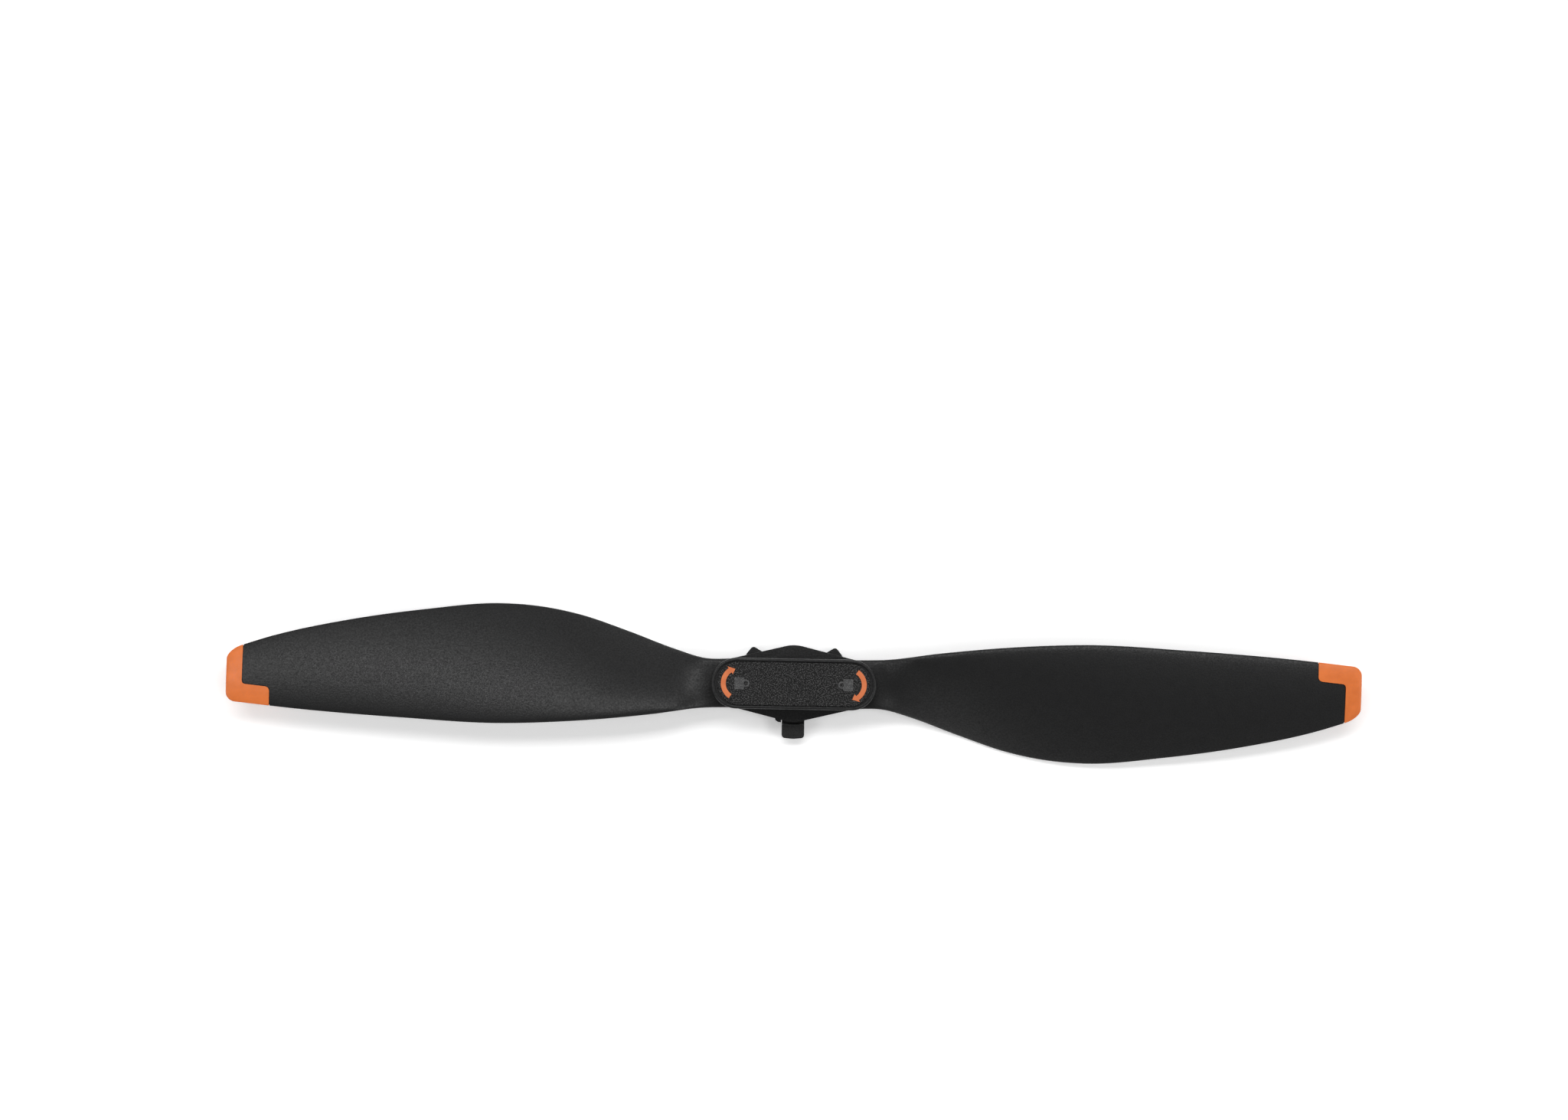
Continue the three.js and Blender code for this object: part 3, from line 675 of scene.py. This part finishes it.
def flat_mark(name, outlines):
    """A thin plate of ink from outlines, of which the inner ones are holes."""
    curve = bpy.data.curves.new(name, "CURVE")
    curve.dimensions = "2D"
    curve.fill_mode = "BOTH"
    curve.extrude = MARK_THICKNESS / 2 * MM
    for outline in outlines:
        spline = curve.splines.new("POLY")
        spline.points.add(len(outline) - 1)
        for point, (x, y) in zip(spline.points, outline):
            point.co = (x * MM, y * MM, 0, 1)
        spline.use_cyclic_u = True
    drawn = placed(name + "_curve", curve)
    graph = bpy.context.evaluated_depsgraph_get()
    mesh = bpy.data.meshes.new_from_object(drawn.evaluated_get(graph))
    bpy.data.objects.remove(drawn)
    mesh.transform(Matrix.Translation((0, 0, (INLAY_TOP + MARK_THICKNESS / 2) * MM)))
    weld(mesh)
    return smooth(placed(name, mesh))


def arrow_outline():
    """A curved arrow round the -X end of the inlay, pointing clockwise."""
    outer = arc(ARROW_CENTRE, 0, ARROW_OUTER, ARROW_TAIL, ARROW_NECK, 24)
    inner = arc(ARROW_CENTRE, 0, ARROW_INNER, ARROW_NECK, ARROW_TAIL, 24)
    middle = (ARROW_INNER + ARROW_OUTER) / 2
    out = Vector((math.cos(ARROW_NECK), math.sin(ARROW_NECK)))
    onward = Vector((out.y, -out.x))
    neck = Vector((ARROW_CENTRE, 0)) + out * middle
    outer_barb = neck + out * ARROW_HEAD_WIDTH / 2
    inner_barb = neck - out * ARROW_HEAD_WIDTH / 2
    point = neck + onward * ARROW_HEAD_LENGTH - out * ARROW_HEAD_LEAN
    return outer + [tuple(outer_barb), tuple(point), tuple(inner_barb)] + inner


def lock_outlines():
    """A padlock lying on its side at the -X end, its round shackle towards the spin axis."""
    left, right, half = LOCK_BODY
    body = rounded([
        (left, half, LOCK_CORNER),
        (left, -half, LOCK_CORNER),
        (right, -half, LOCK_CORNER),
        (right, half, LOCK_CORNER),
    ], 4)
    middle = len(body) * 3 // 4
    bow = right + SHACKLE_REACH
    spread = math.pi - math.acos(SHACKLE_REACH / SHACKLE_OUTER)
    shackle = arc(bow, 0, SHACKLE_OUTER, -spread, spread, 24)
    hole = arc(bow, 0, SHACKLE_INNER, 0, 2 * math.pi, 24)[:-1]
    return [body[:middle] + shackle + body[middle:], hole]


def build_marks(materials):
    """An arrow and a padlock at each end of the inlay, the +X pair turned half a turn."""
    marks = {"arrow": ([arrow_outline()], "mark_orange"), "lock": (lock_outlines(), "mark_grey")}
    for kind, (outlines, slot) in marks.items():
        for letter, turn in (("a", Matrix.Identity(4)), ("b", HALF_TURN)):
            mark = flat_mark(f"{kind}_mark_{letter}", outlines)
            mark.data.transform(turn)
            mark.data.materials.append(materials[slot])
            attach(mark, "hub")


# ---- Stage -------------------------------------------------------------------------------------

# The camera's picture is this wide at the blades' height. The lights are in metres and watts.
FRAME_WIDTH = 210.74
PICTURE_ROLL = math.radians(1.03)
PICTURE_CENTRE = (-1.61, 16.61)
LENS, SENSOR = 150.0, 36.0
TENT_SIDE, TENT_TOP = 0.75, 0.2
TENT_LOW, TENT_HIGH = 0.1, 0.75
KEY_PLACE, KEY_SIZE, KEY_POWER = (-0.05, 0.36, 0.73), (0.9, 0.22), 4.2
END_PLACE, END_SIZE = (0.62, -0.12, 0.62), (0.3, 0.3)
END_POWERS = {1: 2.0, -1: 1.2}
FLOOR_HALF, FLOOR_GAP = 3000, 0.02
FLOOR_GLOW = 0.25


def build_camera():
    """Straight down on the propeller, which lies a little turned in the picture's lower half."""
    data = bpy.data.cameras.new("camera")
    data.lens, data.sensor_width = LENS, SENSOR
    camera = bpy.data.objects.new("camera", data)
    distance = FRAME_WIDTH * LENS / SENSOR
    camera.location = Vector((*PICTURE_CENTRE, (EYE_BOTTOM + EYE_TOP) / 2 + distance)) * MM
    camera.rotation_euler = (0, 0, PICTURE_ROLL)
    bpy.context.scene.collection.objects.link(camera)
    bpy.context.scene.camera = camera


def soft_light(name, place, size, power):
    """A rectangular area light that faces the propeller and isn't seen itself."""
    data = bpy.data.lights.new(name, "AREA")
    data.shape = "RECTANGLE"
    data.size, data.size_y = size
    data.energy = power
    light = bpy.data.objects.new(name, data)
    light.location = place
    light.rotation_euler = (-Vector(place)).to_track_quat("-Z", "Y").to_euler()
    light.visible_camera = False
    bpy.context.scene.collection.objects.link(light)


def build_floor():
    """A wide pale floor under the hub, lit a little from within to keep its shadows pale."""
    corners = [(-1, -1), (1, -1), (1, 1), (-1, 1)]
    points = [(x * FLOOR_HALF, y * FLOOR_HALF, -FLOOR_GAP) for x, y in corners]
    floor = mesh_object("floor", points, [(0, 1, 2, 3)])
    shader = Shader("pale_floor")
    shader.colour(shader.blend(shader.noise(40, 2), (0.93, 0.93, 0.93), (0.95, 0.95, 0.95)))
    shader.set(Roughness=0.9, Specular_IOR_Level=0.1)
    shader.set(Emission_Strength=FLOOR_GLOW, Emission_Color=(1, 1, 1, 1))
    floor.data.materials.append(shader.material)


def build_room():
    """A light tent: bright towards the horizon and dim overhead, with a soft key on the far side."""
    world = bpy.data.worlds.new("room")
    world.use_nodes = True
    nodes, links = world.node_tree.nodes, world.node_tree.links
    direction = nodes.new("ShaderNodeTexCoord").outputs["Generated"]
    nodes["Background"].inputs["Color"].default_value = (1, 1, 1, 1)
    split = nodes.new("ShaderNodeSeparateXYZ")
    level = nodes.new("ShaderNodeMapRange")
    level.interpolation_type = "SMOOTHSTEP"
    limits = {"From Min": TENT_LOW, "From Max": TENT_HIGH, "To Min": TENT_SIDE, "To Max": TENT_TOP}
    for name, value in limits.items():
        level.inputs[name].default_value = value
    links.new(direction, split.inputs[0])
    links.new(split.outputs["Z"], level.inputs["Value"])
    links.new(level.outputs["Result"], nodes["Background"].inputs["Strength"])
    bpy.context.scene.world = world
    soft_light("key", KEY_PLACE, KEY_SIZE, KEY_POWER)
    across, back, up = END_PLACE
    for side, power in END_POWERS.items():
        name = "end_light_right" if side > 0 else "end_light_left"
        soft_light(name, (side * across, back, up), END_SIZE, power)
    bpy.context.scene.view_settings.view_transform = "Standard"


# ---- Assembly ----------------------------------------------------------------------------------

# Widths of the rounded edges
SPRING_ROUNDING = 0.015
EDGE_ROUNDING = {
    "hub_base": 0.07,
    "claw_ring": 0.04,
    "release_latch": 0.1,
    "spindle_bush": 0.04,
    "ring_screw_a": 0.04,
    "ring_screw_b": 0.04,
    "pivot_screw_a": 0.04,
    "pivot_screw_b": 0.04,
    "pivot_sleeve_a": 0.03,
    "pivot_sleeve_b": 0.03,
    "washer_a_lower": 0.02,
    "washer_a_upper": 0.02,
    "washer_b_lower": 0.02,
    "washer_b_upper": 0.02,
}

materials = make_materials()
build_blades(materials)
build_cover(materials)
build_inlay(materials)
build_small_parts(materials)
build_spring(materials)
build_marks(materials)
build_floor()
build_room()
build_camera()
